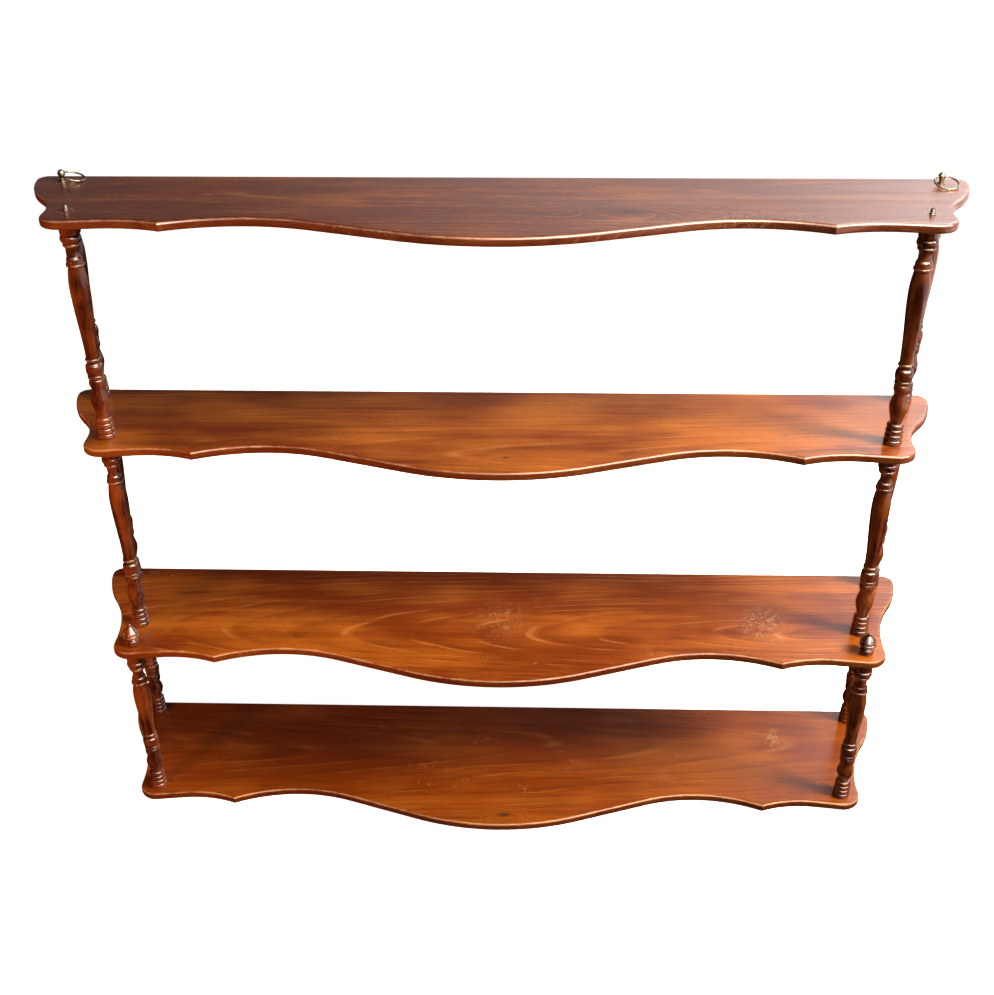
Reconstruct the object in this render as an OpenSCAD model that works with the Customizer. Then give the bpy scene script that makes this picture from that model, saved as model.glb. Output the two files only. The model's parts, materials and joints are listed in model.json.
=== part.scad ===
// Hanging wall shelf: four scalloped boards on turned corner spindles.
// Two screw eyes with loose rings hang it from the wall.
// X runs along the boards, the wall is on the +Y side, and Z is up.
// The origin is under the middle of the bottom board.

/* [Boards] */
// Width across the back corners
board_w = 960; // [860:1:1100]
// Thickness of each board
board_t = 9.5; // [8:0.5:14]
// Depth of the two upper boards at the middle of the bow
upper_d = 188.5; // [180:0.5:230]
// How much deeper the two lower boards are
lower_extra = 26; // [14:1:60]
// Step from one board to the next in the two upper bays
upper_pitch = 246.5; // [215:0.5:300]
// Step from the third board to the bottom board
lower_pitch = 215; // [190:0.5:280]

/* [Board ends] */
// Radius of the back corners
back_corner_r = 12; // [6:0.5:20]
// Radius of the bulge at each end, next to the wall
lobe_r = 116; // [104:1:130]
// How far the waist lies inside the back corners, at each side
waist_side = 42.5; // [38:0.5:46]
// How far the waist lies behind the front of the bow
waist_in = 70; // [66:1:74]
// Radius of the front corners
corner_r = 21; // [16:0.5:23]
// How far the front corners lie behind the front of the bow
corner_in = 41.5; // [40:0.5:43]

/* [Front edge] */
// Radius of the small hollow beside each front corner
scallop_r = 130; // [110:1:150]
// Distance of the small hollow from the side of the waist
scallop_side = 71.5; // [69:0.5:76]
// How far the small hollow lies behind the front of the bow
scallop_in = 46.5; // [45:0.5:48]
// Radius of the large hollow beside the bow
hollow_r = 191; // [175:1:194]
// Distance of the large hollow from the middle, sideways
hollow_side = 240; // [236:0.5:244]
// How far the large hollow lies behind the front of the bow
hollow_in = 54; // [52:0.5:58]
// Radius of the bow at the middle of the front
bow_r = 300; // [280:1:320]

/* [Spindle places] */
// Distance of the front spindles from the side of the waist
front_side = 22.5; // [18:0.5:40]
// Distance of the back spindles from the back corners, sideways
back_side = 30; // [24:0.5:50]
// Distance of the back spindles from the wall
back_in = 18; // [15:0.5:26]
// Distance of the upper front spindles from the front of the bow
upper_front_in = 72; // [66:0.5:90]
// Distance of the bottom front spindles and the finials from the front of the bow
lower_front_in = 59.5; // [56:0.5:70]

/* [Spindle foot and vase] */
// Radius of the lowest ring of the foot
foot_r = 9.8; // [8.5:0.1:12.5]
// Number of rings in the foot
foot_rings = 4; // [3:1:5]
// Height of one ring of the foot
foot_ring_h = 6.1; // [5:0.1:7.5]
// How much each ring of the foot is smaller than the one below
foot_ring_step = 0.35; // [0.1:0.05:0.6]
// Depth of the grooves beside the rings and beads
groove_in = 1.6; // [1:0.1:2.2]
// Radius of the necks
neck_r = 6.1; // [5.2:0.1:7.2]
// Largest radius of the vase above the foot
vase_r = 9.6; // [8.5:0.1:12]
// Height of the vase on the long spindles
vase_h = 35; // [26:0.5:44]
// Height of the vase on the short spindles
short_vase_h = 27; // [18:0.5:34]

/* [Spindle beads and body] */
// Radius of the small bead above the vase
small_bead_r = 8.5; // [7.6:0.1:10]
// Height of the small bead
small_bead_h = 9.5; // [7:0.5:13]
// Radius of the band between the small and the large bead
band_r = 8.6; // [7.6:0.1:10]
// Height of the band
band_h = 4.5; // [3:0.5:6]
// Radius of the large bead
large_bead_r = 9.2; // [8.2:0.1:12]
// Height of the large bead
large_bead_h = 12; // [9:0.5:16]
// Height of the cove under the thin ring
cove_h = 3.5; // [2:0.5:9]
// Radius of the thin ring under the long body
thin_ring_r = 8; // [7.4:0.1:12]
// Height of the thin ring
thin_ring_h = 3.5; // [2.5:0.5:7]
// Radius of the long body at its lower end
body_low_r = 6.8; // [6:0.1:9]
// Largest radius of the long body
body_r = 10.1; // [9.2:0.1:12]
// Radius of the long body at its upper end
body_top_r = 7.8; // [6.8:0.1:9]

/* [Spindle head] */
// Radius of the collar above the long body
collar_r = 9.4; // [8.5:0.1:11.5]
// How much the collar narrows towards its top
collar_taper = 1.1; // [0.4:0.1:1.8]
// Height of the collar
collar_h = 9.5; // [8.5:0.5:16]
// Height of the ring at the lower end of the collar
collar_ring_h = 3.2; // [2:0.2:4]
// Height of the round shoulder at the upper end of the collar
collar_top_ring_h = 4.8; // [3:0.2:5.2]
// Height of the neck above the collar
top_neck_h = 10.5; // [5:0.5:14]
// Radius of the top bead
top_bead_r = 10.5; // [9.5:0.1:12.5]
// Height of the top bead
top_bead_h = 8; // [6:0.5:14]
// Radius of the ring under the top bead
top_ring_r = 8.9; // [8.2:0.1:11]
// Height of the ring under the top bead
top_ring_h = 4.5; // [3:0.5:9]
// Radius of the flat cap at the top
cap_r = 9.8; // [9.2:0.1:12]
// Height of the cap
cap_h = 13.5; // [7:0.5:18]

/* [Finials] */
// Radius of the bun that stands on the board
bun_r = 8; // [6.5:0.1:10]
// Height of the bun
bun_h = 7; // [5:0.1:9]
// Radius of the neck of the finial
finial_neck_r = 4.4; // [3.8:0.1:5]
// Height of the neck of the finial
finial_neck_h = 3.2; // [2:0.1:5]
// Radius of the onion above the neck
onion_r = 9.4; // [8:0.1:11]
// Height of the onion below its widest ring
onion_low_h = 5; // [3.5:0.1:7]
// Height of the onion above its widest ring
onion_top_h = 8.6; // [7:0.1:12]
// Radius of the small tip
tip_r = 2.3; // [1.6:0.1:3]
// Height of the small tip
tip_h = 3.4; // [2:0.1:5]

/* [Screws] */
// Diameter of the screws that join pieces through a board
join_d = 4.5; // [3.5:0.1:5]
// Depth that each screw reaches into a spindle
screw_depth = 18; // [12:0.5:24]
// Depth that a screw reaches into a finial
finial_depth = 11; // [8:0.5:13]
// Length of the pointed end of each screw
screw_point = 4; // [2:0.5:6]
// Free space between a screw and its hole in a spindle or finial
screw_fit = 0.05; // [0.02:0.01:0.1]
// Free space between a screw and its hole in a board
board_fit = 0.2; // [0.1:0.05:0.4]
// Depth left free past the point of a screw
hole_past = 1; // [0.5:0.1:2]
// Height of the bare screw ends on the top board
stud_h = 6.5; // [3:0.1:12]
// Diameter of the screws whose bare ends stand on the top board
stud_d = 6.4; // [4:0.1:7.5]
// Diameter at the blunt tip of the bare screw ends
stud_tip_d = 4.6; // [2.5:0.1:6]
// Bevel at the blunt tip of the bare screw ends
stud_bevel = 1; // [0.2:0.1:1.2]
// Diameter of the countersunk screws from below
under_d = 4; // [3:0.1:5]
// Diameter of the heads of the countersunk screws
head_d = 8; // [7:0.1:10]
// Height of the heads of the countersunk screws
head_h = 2.6; // [2:0.1:4]
// How far the heads lie inside the wood
head_sink = 0.4; // [0.2:0.1:1]
// Width of the driver slot in the heads
slot_w = 1.2; // [0.8:0.1:1.6]
// Depth of the driver slot
slot_in = 1; // [0.6:0.1:1.4]

/* [Hanging rings] */
// Diameter of the ball of the screw eye
eye_ball_d = 8; // [7:0.1:10]
// Height of the middle of the ball over the board
eye_h = 7.5; // [7:0.1:12]
// Diameter of the neck under the ball
eye_neck_d = 4.6; // [4:0.1:6]
// Diameter of the collar that lies on the board
eye_collar_d = 9; // [7:0.1:12]
// Height of the collar
eye_collar_h = 1.6; // [1:0.1:2.2]
// Diameter of the ring wire
wire_d = 2; // [1.5:0.1:2.4]
// Diameter of the ring, measured to the middle of the wire
ring_d = 24; // [20:0.5:30]
// Free space round the wire where it passes through the ball
wire_clear = 0.25; // [0.2:0.05:0.4]
// Free space under the ring where it lies on the board
ring_rest = 0.3; // [0.2:0.05:0.5]
// Direction in which the left ring lies, measured from +X
left_lay = 0; // [-60:1:20]
// Direction in which the right ring lies, measured from +X
right_lay = -80; // [-90:1:-20]

/* [Hidden] */
$fn = 64;
// Largest distance between an arc of an outline and its straight pieces
ARC_DEV = 0.08;
// Number of straight pieces along a vase, a body or the dome of a finial
CURVE_STEPS = 12;
// Share of the vase's height at which it is widest
VASE_WIDEST = 0.55;
// Share of the body's length at which it reaches its largest radius
BODY_FULL = 0.79;
// How much the onion of a finial is drawn out towards its tip
ONION_DRAWN = 1.35;
// How much the necks widen at their ends
NECK_STEP = 1;
// How far a cut reaches past the face where it starts
OVER = 1;

// Colours
BOARD_BROWN = "#8a4a26";
SPINDLE_BROWN = "#5c2a18";
BRONZE = "#6e5a3c";
STEEL = "#8c8a86";

// Heights of the tops of the boards
bottom_top = board_t;
third_top = bottom_top + lower_pitch;
second_top = third_top + upper_pitch;
top_top = second_top + upper_pitch;

lower_d = upper_d + lower_extra;
long_h = upper_pitch - board_t;
short_h = lower_pitch - board_t;

// Y coordinate of a place at a distance from the wall
function from_wall(d) = lower_d / 2 - d;

// Left and right places of the spindles
waist_x = board_w / 2 - waist_side;
front_x = waist_x - front_side;
back_x = board_w / 2 - back_side;
UPPER_FRONT = [for (s = [-1, 1]) [s * front_x, from_wall(upper_d - upper_front_in)]];
LOWER_FRONT = [for (s = [-1, 1]) [s * front_x, from_wall(lower_d - lower_front_in)]];
BACK = [for (s = [-1, 1]) [s * back_x, from_wall(back_in)]];

// Points along an arc, from angle a0 to angle a1
function arc(c, r, a0, a1) =
    let (steps = ceil(abs(a1 - a0) / (2 * acos(1 - ARC_DEV / r))))
    [for (i = [0:steps]) let (a = a0 + (a1 - a0) * i / steps) c + r * [cos(a), sin(a)]];

// Angle of a point, seen from c
function angle_of(c, p) = atan2(p[1] - c[1], p[0] - c[0]);

// A line that crosses between two circles touches the first one at this angle
function cross_angle(c1, r1, c2, r2, side) = angle_of(c1, c2) + side * acos((r1 + r2) / norm(c2 - c1));

// The meeting point of two circles that lies on the right when going from c1 to c2
function circle_meet(c1, r1, c2, r2) =
    let (
        d = norm(c2 - c1),
        u = (c2 - c1) / d,
        a = (d * d + r1 * r1 - r2 * r2) / (2 * d),
        h = sqrt(r1 * r1 - a * a)
    )
    c1 + a * u + h * [u[1], -u[0]];

// Right half of a board's outline, from the wall to the middle of the front.
// The second coordinate is the distance from the wall. Bulges and hollows are
// arcs that touch each other or are joined by straight lines that touch both.
function half_outline(depth) =
    let (
        lobe_c = [board_w / 2 - lobe_r, 0],
        back_c = [lobe_c[0] + sqrt(pow(lobe_r - back_corner_r, 2) - pow(back_corner_r, 2)), back_corner_r],
        back_end = angle_of(lobe_c, back_c),
        w = waist_x - lobe_c[0],
        waist_y = depth - waist_in,
        waist_r = (w * w + waist_y * waist_y - lobe_r * lobe_r) / (2 * (lobe_r - w)),
        waist_c = [waist_x + waist_r, waist_y],
        lobe_end = angle_of(lobe_c, waist_c),
        corner_c = [waist_x - corner_r, depth - corner_in - corner_r],
        scallop_c = [waist_x - scallop_side, depth - scallop_in + scallop_r],
        hollow_c = [hollow_side, depth - hollow_in + hollow_r],
        bow_c = [0, depth - bow_r],
        corner_end = cross_angle(corner_c, corner_r, scallop_c, scallop_r, -1),
        cusp = circle_meet(hollow_c, hollow_r, scallop_c, scallop_r),
        bow_start = cross_angle(bow_c, bow_r, hollow_c, hollow_r, 1)
    )
    concat(
        arc(back_c, back_corner_r, -90, back_end),
        arc(lobe_c, lobe_r, back_end, lobe_end),
        arc(waist_c, waist_r, lobe_end + 180, 180),
        arc(corner_c, corner_r, 0, corner_end),
        arc(scallop_c, scallop_r, corner_end + 180, angle_of(scallop_c, cusp) + 360),
        arc(hollow_c, hollow_r, angle_of(hollow_c, cusp) + 360, bow_start + 180),
        arc(bow_c, bow_r, bow_start, 90)
    );

// A board of one depth with its underside at Z 0
module board(depth) {
    half = half_outline(depth);
    left = [for (i = [len(half) - 2:-1:0]) [-half[i][0], half[i][1]]];
    linear_extrude(board_t)
        polygon([for (p = concat(half, left)) [p[0], from_wall(p[1])]]);
}

// Holes through a board for screws of one diameter
module join_holes(places, d) {
    for (p = places)
        translate([p[0], p[1], -OVER])
            cylinder(h = board_t + 2 * OVER, d = d + 2 * board_fit);
}

// Countersunk holes through a board, with the heads underneath
module under_holes(places) {
    for (p = places)
        translate([p[0], p[1], 0]) {
            translate([0, 0, -OVER])
                cylinder(h = board_t + 2 * OVER, d = under_d + 2 * board_fit);
            translate([0, 0, -OVER])
                cylinder(h = OVER + head_sink, d = head_d + 2 * board_fit);
            translate([0, 0, head_sink])
                cylinder(h = head_h, d1 = head_d + 2 * board_fit, d2 = under_d + 2 * board_fit);
        }
}

module top_shelf() {
    color(BOARD_BROWN)
        translate([0, 0, top_top - board_t])
            difference() {
                board(upper_d);
                join_holes(UPPER_FRONT, stud_d);
                join_holes(BACK, join_d);
            }
}

module second_shelf() {
    color(BOARD_BROWN)
        translate([0, 0, second_top - board_t])
            difference() {
                board(upper_d);
                join_holes(concat(UPPER_FRONT, BACK), join_d);
            }
}

module third_shelf() {
    color(BOARD_BROWN)
        translate([0, 0, third_top - board_t])
            difference() {
                board(lower_d);
                join_holes(concat(LOWER_FRONT, BACK), join_d);
                under_holes(UPPER_FRONT);
            }
}

module bottom_shelf() {
    color(BOARD_BROWN)
        difference() {
            board(lower_d);
            under_holes(concat(LOWER_FRONT, BACK));
        }
}

// Profile of a rounded bead that starts at height z: radius, height pairs
function bead(z, h, r, edge_r) =
    [for (a = [0:22.5:180]) [edge_r + (r - edge_r) * sin(a), z + h * (1 - cos(a)) / 2]];

// Profile of a hollow between two radii
function cove(z, h, r0, r1, low_r) =
    [for (a = [0:30:180]) [low_r + ((a < 90 ? r0 : r1) - low_r) * (1 - sin(a)), z + h * a / 180]];

// Profile of the vase: narrow at the foot, widest above its middle
function vase(z, h, top_r) =
    [for (i = [0:CURVE_STEPS])
        let (t = i / CURVE_STEPS)
        t < VASE_WIDEST
            ? [neck_r + (vase_r - neck_r) * (1 - cos(180 * t / VASE_WIDEST)) / 2, z + h * t]
            : [top_r + (vase_r - top_r) * (1 + cos(180 * (t - VASE_WIDEST) / (1 - VASE_WIDEST))) / 2,
               z + h * t]];

// Profile of the long body, which swells towards its upper end and narrows at its head
function body(z, h) =
    [for (i = [0:2 * CURVE_STEPS])
        let (t = i / (2 * CURVE_STEPS))
        t < BODY_FULL
            ? [body_low_r + (body_r - body_low_r) * (1 - cos(180 * t / BODY_FULL)) / 2, z + h * t]
            : [body_top_r + (body_r - body_top_r) * sin(90 * (1 - t) / (1 - BODY_FULL)), z + h * t]];

// Profile of the round shoulder at the top of the collar, which ends at height z
function shoulder(z, h, r, end_r) =
    [for (a = [0:22.5:90]) [end_r + (r - end_r) * cos(a), z - h * (1 - sin(a))]];

// Profile of the foot: rings that grow smaller upwards
function foot() =
    [for (i = [0:foot_rings - 1])
        let (r = foot_r - i * foot_ring_step)
        each bead(i * foot_ring_h, foot_ring_h, r, r - groove_in)];

// Profile of a whole spindle, from the foot up
function spindle_profile(h, this_vase_h) =
    let (
        vase_z = foot_rings * foot_ring_h,
        small_z = vase_z + this_vase_h,
        band_z = small_z + small_bead_h,
        large_z = band_z + band_h,
        cove_z = large_z + large_bead_h,
        thin_z = cove_z + cove_h,
        body_z = thin_z + thin_ring_h,
        cap_z = h - cap_h,
        bead_z = cap_z - top_bead_h,
        ring_z = bead_z - top_ring_h,
        neck_z = ring_z - top_neck_h,
        collar_z = neck_z - collar_h,
        small_edge = small_bead_r - groove_in,
        large_edge = large_bead_r - groove_in,
        neck_end = neck_r + NECK_STEP,
        nick = groove_in / 2
    )
    concat(
        foot(),
        vase(vase_z, this_vase_h, small_edge),
        bead(small_z, small_bead_h, small_bead_r, small_edge),
        bead(band_z, band_h, band_r, band_r - nick),
        bead(large_z, large_bead_h, large_bead_r, large_edge),
        cove(cove_z, cove_h, large_edge, body_low_r, body_low_r),
        bead(thin_z, thin_ring_h, thin_ring_r, body_low_r),
        body(body_z, collar_z - body_z - nick),
        [[body_top_r - nick, collar_z - nick / 2]],
        bead(collar_z, collar_ring_h, collar_r, collar_r - nick),
        shoulder(neck_z, collar_top_ring_h, collar_r - collar_taper, neck_end),
        cove(neck_z, top_neck_h, neck_end, neck_end, neck_r),
        bead(ring_z, top_ring_h, top_ring_r, neck_end),
        bead(bead_z, top_bead_h, top_bead_r, top_ring_r - nick),
        arc([cap_r - groove_in, cap_z + groove_in], groove_in, -90, 0),
        [[cap_r, h]]
    );

// A turned spindle with its foot at Z 0 and a blind hole in each end
module spindle(h, this_vase_h, foot_screw_d, head_screw_d) {
    color(SPINDLE_BROWN)
        difference() {
            rotate_extrude()
                polygon(concat([[0, 0]], spindle_profile(h, this_vase_h), [[0, h]]));
            blind_hole(foot_screw_d, screw_depth);
            translate([0, 0, h])
                mirror([0, 0, 1])
                    blind_hole(head_screw_d, screw_depth);
        }
}

// A hole that goes up from Z 0, with room past the point of the screw
module blind_hole(d, depth) {
    translate([0, 0, -OVER])
        cylinder(h = OVER + depth + hole_past, d = d + 2 * screw_fit);
}

module top_spindle(place, head_screw_d) {
    translate([place[0], place[1], second_top])
        spindle(long_h, vase_h, join_d, head_screw_d);
}

module middle_spindle(place, foot_screw_d) {
    translate([place[0], place[1], third_top])
        spindle(long_h, vase_h, foot_screw_d, join_d);
}

module bottom_spindle(place) {
    translate([place[0], place[1], bottom_top])
        spindle(short_h, short_vase_h, under_d, join_d);
}

// A turned finial on the front corner of the third board
module finial(place) {
    nick = groove_in / 2;
    neck_z = bun_h + finial_neck_h;
    ring_z = neck_z + onion_low_h;
    dome_z = ring_z + nick;
    top_z = dome_z + onion_top_h;
    dome_r = onion_r - nick / 2;
    neck_end = finial_neck_r + NECK_STEP;
    color(SPINDLE_BROWN)
        translate([place[0], place[1], third_top])
            difference() {
                rotate_extrude()
                    polygon(concat(
                        [[0, 0]],
                        bead(0, bun_h, bun_r, bun_r - groove_in),
                        cove(bun_h, finial_neck_h, neck_end, neck_end, finial_neck_r),
                        bead(neck_z, onion_low_h, onion_r, onion_r - 2 * groove_in),
                        [[onion_r - nick, dome_z - nick / 2]],
                        [for (i = [0:CURVE_STEPS])
                            let (t = i / CURVE_STEPS)
                            [tip_r + (dome_r - tip_r) * cos(90 * t),
                             dome_z + onion_top_h * pow(t, ONION_DRAWN)]],
                        [for (a = [30:30:90]) [tip_r * cos(a), top_z + tip_h * sin(a)]]
                    ));
                blind_hole(join_d, finial_depth);
            }
}

// A headless screw that points both ways, with its middle at Z 0
module double_screw(up, down) {
    color(STEEL)
        rotate_extrude()
            polygon([
                [0, -down],
                [join_d / 2, screw_point - down],
                [join_d / 2, up - screw_point],
                [0, up]
            ]);
}

// Screws that join the spindles above and below a board
module double_screws(places, board_top, up) {
    for (p = places)
        translate([p[0], p[1], board_top])
            double_screw(up, board_t + screw_depth);
}

module second_shelf_screws() {
    double_screws(concat(UPPER_FRONT, BACK), second_top, screw_depth);
}

module third_shelf_screws() {
    double_screws(BACK, third_top, screw_depth);
}

module finial_screws() {
    double_screws(LOWER_FRONT, third_top, finial_depth);
}

// Screws through the top board whose bare upper ends show
module top_stud_screws() {
    color(STEEL)
        for (p = UPPER_FRONT)
            translate([p[0], p[1], top_top])
                rotate_extrude()
                    polygon([
                        [0, -board_t - screw_depth],
                        [stud_d / 2, screw_point - board_t - screw_depth],
                        [stud_d / 2, 0],
                        [stud_tip_d / 2, stud_h - stud_bevel],
                        [stud_tip_d / 2 - stud_bevel, stud_h],
                        [0, stud_h]
                    ]);
}

// A countersunk screw that goes up from the underside of a board
module under_screw() {
    color(STEEL)
        difference() {
            rotate_extrude()
                polygon([
                    [0, head_sink],
                    [head_d / 2, head_sink],
                    [under_d / 2, head_sink + head_h],
                    [under_d / 2, board_t + screw_depth - screw_point],
                    [0, board_t + screw_depth]
                ]);
            translate([-head_d, -slot_w / 2, head_sink - OVER])
                cube([2 * head_d, slot_w, slot_in + OVER]);
        }
}

module under_screws(places, board_top) {
    for (p = places)
        translate([p[0], p[1], board_top - board_t])
            under_screw();
}

module middle_foot_screws() {
    under_screws(UPPER_FRONT, third_top);
}

module bottom_foot_screws() {
    under_screws(concat(LOWER_FRONT, BACK), bottom_top);
}

// The wire curves inside the ball, so its hole is wider by the height of that curve
wire_rise = ring_d / 2 - sqrt(pow(ring_d / 2, 2) - pow(eye_ball_d / 2, 2));
eye_hole_d = wire_d + 2 * (wire_rise + wire_clear);

// A ball-headed screw eye with its hole square to the lay of the ring
module screw_eye(place, lay) {
    color(BRONZE)
        translate([place[0], place[1], top_top])
            rotate([0, 0, lay])
                difference() {
                    union() {
                        rotate_extrude()
                            polygon([
                                [0, -board_t - screw_depth],
                                [join_d / 2, screw_point - board_t - screw_depth],
                                [join_d / 2, 0],
                                [eye_collar_d / 2, 0],
                                [eye_collar_d / 2, eye_collar_h / 2],
                                [eye_neck_d / 2, eye_collar_h],
                                [eye_neck_d / 2, eye_h],
                                [0, eye_h]
                            ]);
                        translate([0, 0, eye_h])
                            sphere(d = eye_ball_d);
                    }
                    translate([0, 0, eye_h])
                        rotate([90, 0, 0])
                            cylinder(h = 2 * eye_ball_d, d = eye_hole_d, center = true);
                }
}

// How far the ring leans down from level, so that its free side lies on the board
ring_lean = asin((eye_h - wire_d / 2 - ring_rest) / ring_d);

// A wire ring that hangs in the eye and lies on the board
module hanging_ring(place, lay) {
    color(BRONZE)
        translate([place[0], place[1], top_top + eye_h])
            rotate([0, ring_lean, lay])
                translate([ring_d / 2, 0, 0])
                    rotate_extrude()
                        translate([ring_d / 2, 0])
                            circle(d = wire_d, $fn = 32);
}

top_shelf();
second_shelf();
third_shelf();
bottom_shelf();
top_spindle(UPPER_FRONT[0], stud_d);  // top_spindle_front_left
top_spindle(UPPER_FRONT[1], stud_d);  // top_spindle_front_right
top_spindle(BACK[0], join_d);  // top_spindle_back_left
top_spindle(BACK[1], join_d);  // top_spindle_back_right
middle_spindle(UPPER_FRONT[0], under_d);  // middle_spindle_front_left
middle_spindle(UPPER_FRONT[1], under_d);  // middle_spindle_front_right
middle_spindle(BACK[0], join_d);  // middle_spindle_back_left
middle_spindle(BACK[1], join_d);  // middle_spindle_back_right
bottom_spindle(LOWER_FRONT[0]);  // bottom_spindle_front_left
bottom_spindle(LOWER_FRONT[1]);  // bottom_spindle_front_right
bottom_spindle(BACK[0]);  // bottom_spindle_back_left
bottom_spindle(BACK[1]);  // bottom_spindle_back_right
finial(LOWER_FRONT[0]);  // finial_left
finial(LOWER_FRONT[1]);  // finial_right
screw_eye(BACK[0], left_lay);  // screw_eye_left
screw_eye(BACK[1], right_lay);  // screw_eye_right
hanging_ring(BACK[0], left_lay);  // hanging_ring_left
hanging_ring(BACK[1], right_lay);  // hanging_ring_right
top_stud_screws();
second_shelf_screws();
third_shelf_screws();
finial_screws();
middle_foot_screws();
bottom_foot_screws();
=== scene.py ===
"""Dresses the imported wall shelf: varnished boards, turned spindles, finials, hanging rings and screws."""

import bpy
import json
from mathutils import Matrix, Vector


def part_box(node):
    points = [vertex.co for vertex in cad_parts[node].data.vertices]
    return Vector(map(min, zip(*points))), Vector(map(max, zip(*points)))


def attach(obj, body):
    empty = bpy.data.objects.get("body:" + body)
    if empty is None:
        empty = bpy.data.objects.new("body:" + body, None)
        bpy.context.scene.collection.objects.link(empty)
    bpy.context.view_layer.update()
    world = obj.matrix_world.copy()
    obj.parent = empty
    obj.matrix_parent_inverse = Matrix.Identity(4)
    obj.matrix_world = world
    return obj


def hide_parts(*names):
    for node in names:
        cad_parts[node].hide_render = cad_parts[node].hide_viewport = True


bl_info = {
    "name": "Scalloped wall shelf",
    "version": (1, 0, 0),
    "blender": (4, 5, 0),
    "location": "3D View > Sidebar > Shelf",
    "description": "Builds the boards, turned work and metal of a hanging wall shelf, and its stage",
    "category": "Object",
}

import json
from functools import partial, reduce
from math import acos, asin, atan2, cos, hypot, pi, radians, sin, sqrt

import bmesh
import bpy
from bpy.props import FloatProperty, FloatVectorProperty, IntProperty, PointerProperty
from mathutils import Matrix, Vector

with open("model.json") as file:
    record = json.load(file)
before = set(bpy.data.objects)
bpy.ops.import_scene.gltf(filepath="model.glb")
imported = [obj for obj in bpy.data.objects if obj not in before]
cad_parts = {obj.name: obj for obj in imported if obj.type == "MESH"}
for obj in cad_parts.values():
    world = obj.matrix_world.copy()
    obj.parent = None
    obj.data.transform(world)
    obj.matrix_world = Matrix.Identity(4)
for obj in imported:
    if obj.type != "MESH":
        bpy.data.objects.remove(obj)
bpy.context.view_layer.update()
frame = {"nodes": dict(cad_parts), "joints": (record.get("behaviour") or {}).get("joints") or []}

BODY = "shelf"
BOARDS = ("top_shelf", "second_shelf", "third_shelf", "bottom_shelf")
TIERS = ("top", "middle", "bottom")
CORNERS = ("front_left", "front_right", "back_left", "back_right")
SIDES = ("left", "right")
HIDDEN_SCREWS = ("second_shelf_screws", "third_shelf_screws", "finial_screws")
COUNTERSUNK_SCREWS = ("middle_foot_screws", "bottom_foot_screws")

MM = 1000  # millimetres in a metre, for the patterns' scales
NOISE_SPAN = (0.3, 0.7)  # between these a noise has nearly all its values
# What nearly all nodes of a kind are set to.
USUAL_SETTINGS = {"MapRange": {"interpolation_type": "SMOOTHSTEP"}, "Mix": {"data_type": "RGBA"}}
WHITE = (1, 1, 1)

FLOOR_Z = -0.0002
CLOTH_Z = -0.0001  # the screen on the floor lies just over it
CLOTH_TURN = (2.7, 3.7)  # heights between which the upper grade of a cloth takes over


def linear(hex_colour):
    """An sRGB hex colour as linear red, green and blue."""
    parts = [int(hex_colour[i:i + 2], 16) / 255 for i in (1, 3, 5)]
    return [c / 12.92 if c <= 0.04045 else ((c + 0.055) / 1.055) ** 2.4 for c in parts]


def size(name, description, default):
    """A length in metres."""
    return FloatProperty(name=name, description=description, default=default, min=0, unit="LENGTH",
                         precision=4)


def angle(name, description, degrees):
    """An angle, given in degrees."""
    return FloatProperty(name=name, description=description, default=radians(degrees), subtype="ANGLE")


def paint(name, description, hex_colour):
    """A colour of a finish."""
    return FloatVectorProperty(name=name, description=description, default=linear(hex_colour),
                               subtype="COLOR", size=3, min=0, max=1)


class BoardShape(bpy.types.PropertyGroup):
    """Outline and edge of the boards. Distances run from the same places as in the solid model."""

    width: size("Width", "Width across the back corners", 0.960)
    back_corner: size("Back corner", "Radius of the back corners", 0.012)
    lobe: size("Lobe", "Radius of the bulge at each end", 0.116)
    waist_side: size("Waist side", "How far the waist lies inside the back corners", 0.0425)
    waist_in: size("Waist in", "How far the waist lies behind the front", 0.070)
    corner: size("Front corner", "Radius of the front corners", 0.021)
    corner_in: size("Front corner in", "How far the front corners lie behind the front", 0.0415)
    scallop: size("Scallop", "Radius of the small hollow beside each front corner", 0.130)
    scallop_side: size("Scallop side", "Distance of the small hollow from the side of the waist", 0.0715)
    scallop_in: size("Scallop in", "How far the small hollow lies behind the front", 0.0465)
    hollow: size("Hollow", "Radius of the large hollow beside the bow", 0.191)
    hollow_side: size("Hollow side", "Distance of the large hollow from the middle", 0.240)
    hollow_in: size("Hollow in", "How far the large hollow lies behind the front", 0.054)
    bow: size("Bow", "Radius of the bow at the middle of the front", 0.300)
    top_round: size("Upper arris", "Radius to which the upper arris is worn", 0.0030)
    low_round: size("Lower arris", "Radius of the lower arris", 0.0024)
    join_hole: size("Screw hole", "Diameter of the holes for the joining screws", 0.0049)
    stud_hole: size("Stud hole", "Diameter of the holes for the screws whose bare ends show", 0.0068)
    under_hole: size("Countersunk hole", "Diameter of the holes for the countersunk screws", 0.0044)
    head_hole: size("Countersink", "Diameter of the countersinks", 0.0084)
    head_sink: size("Countersink rim", "Depth of the straight rim of the countersinks", 0.0004)
    head_height: size("Countersink depth", "Depth of the tapered part of the countersinks", 0.0026)


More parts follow.
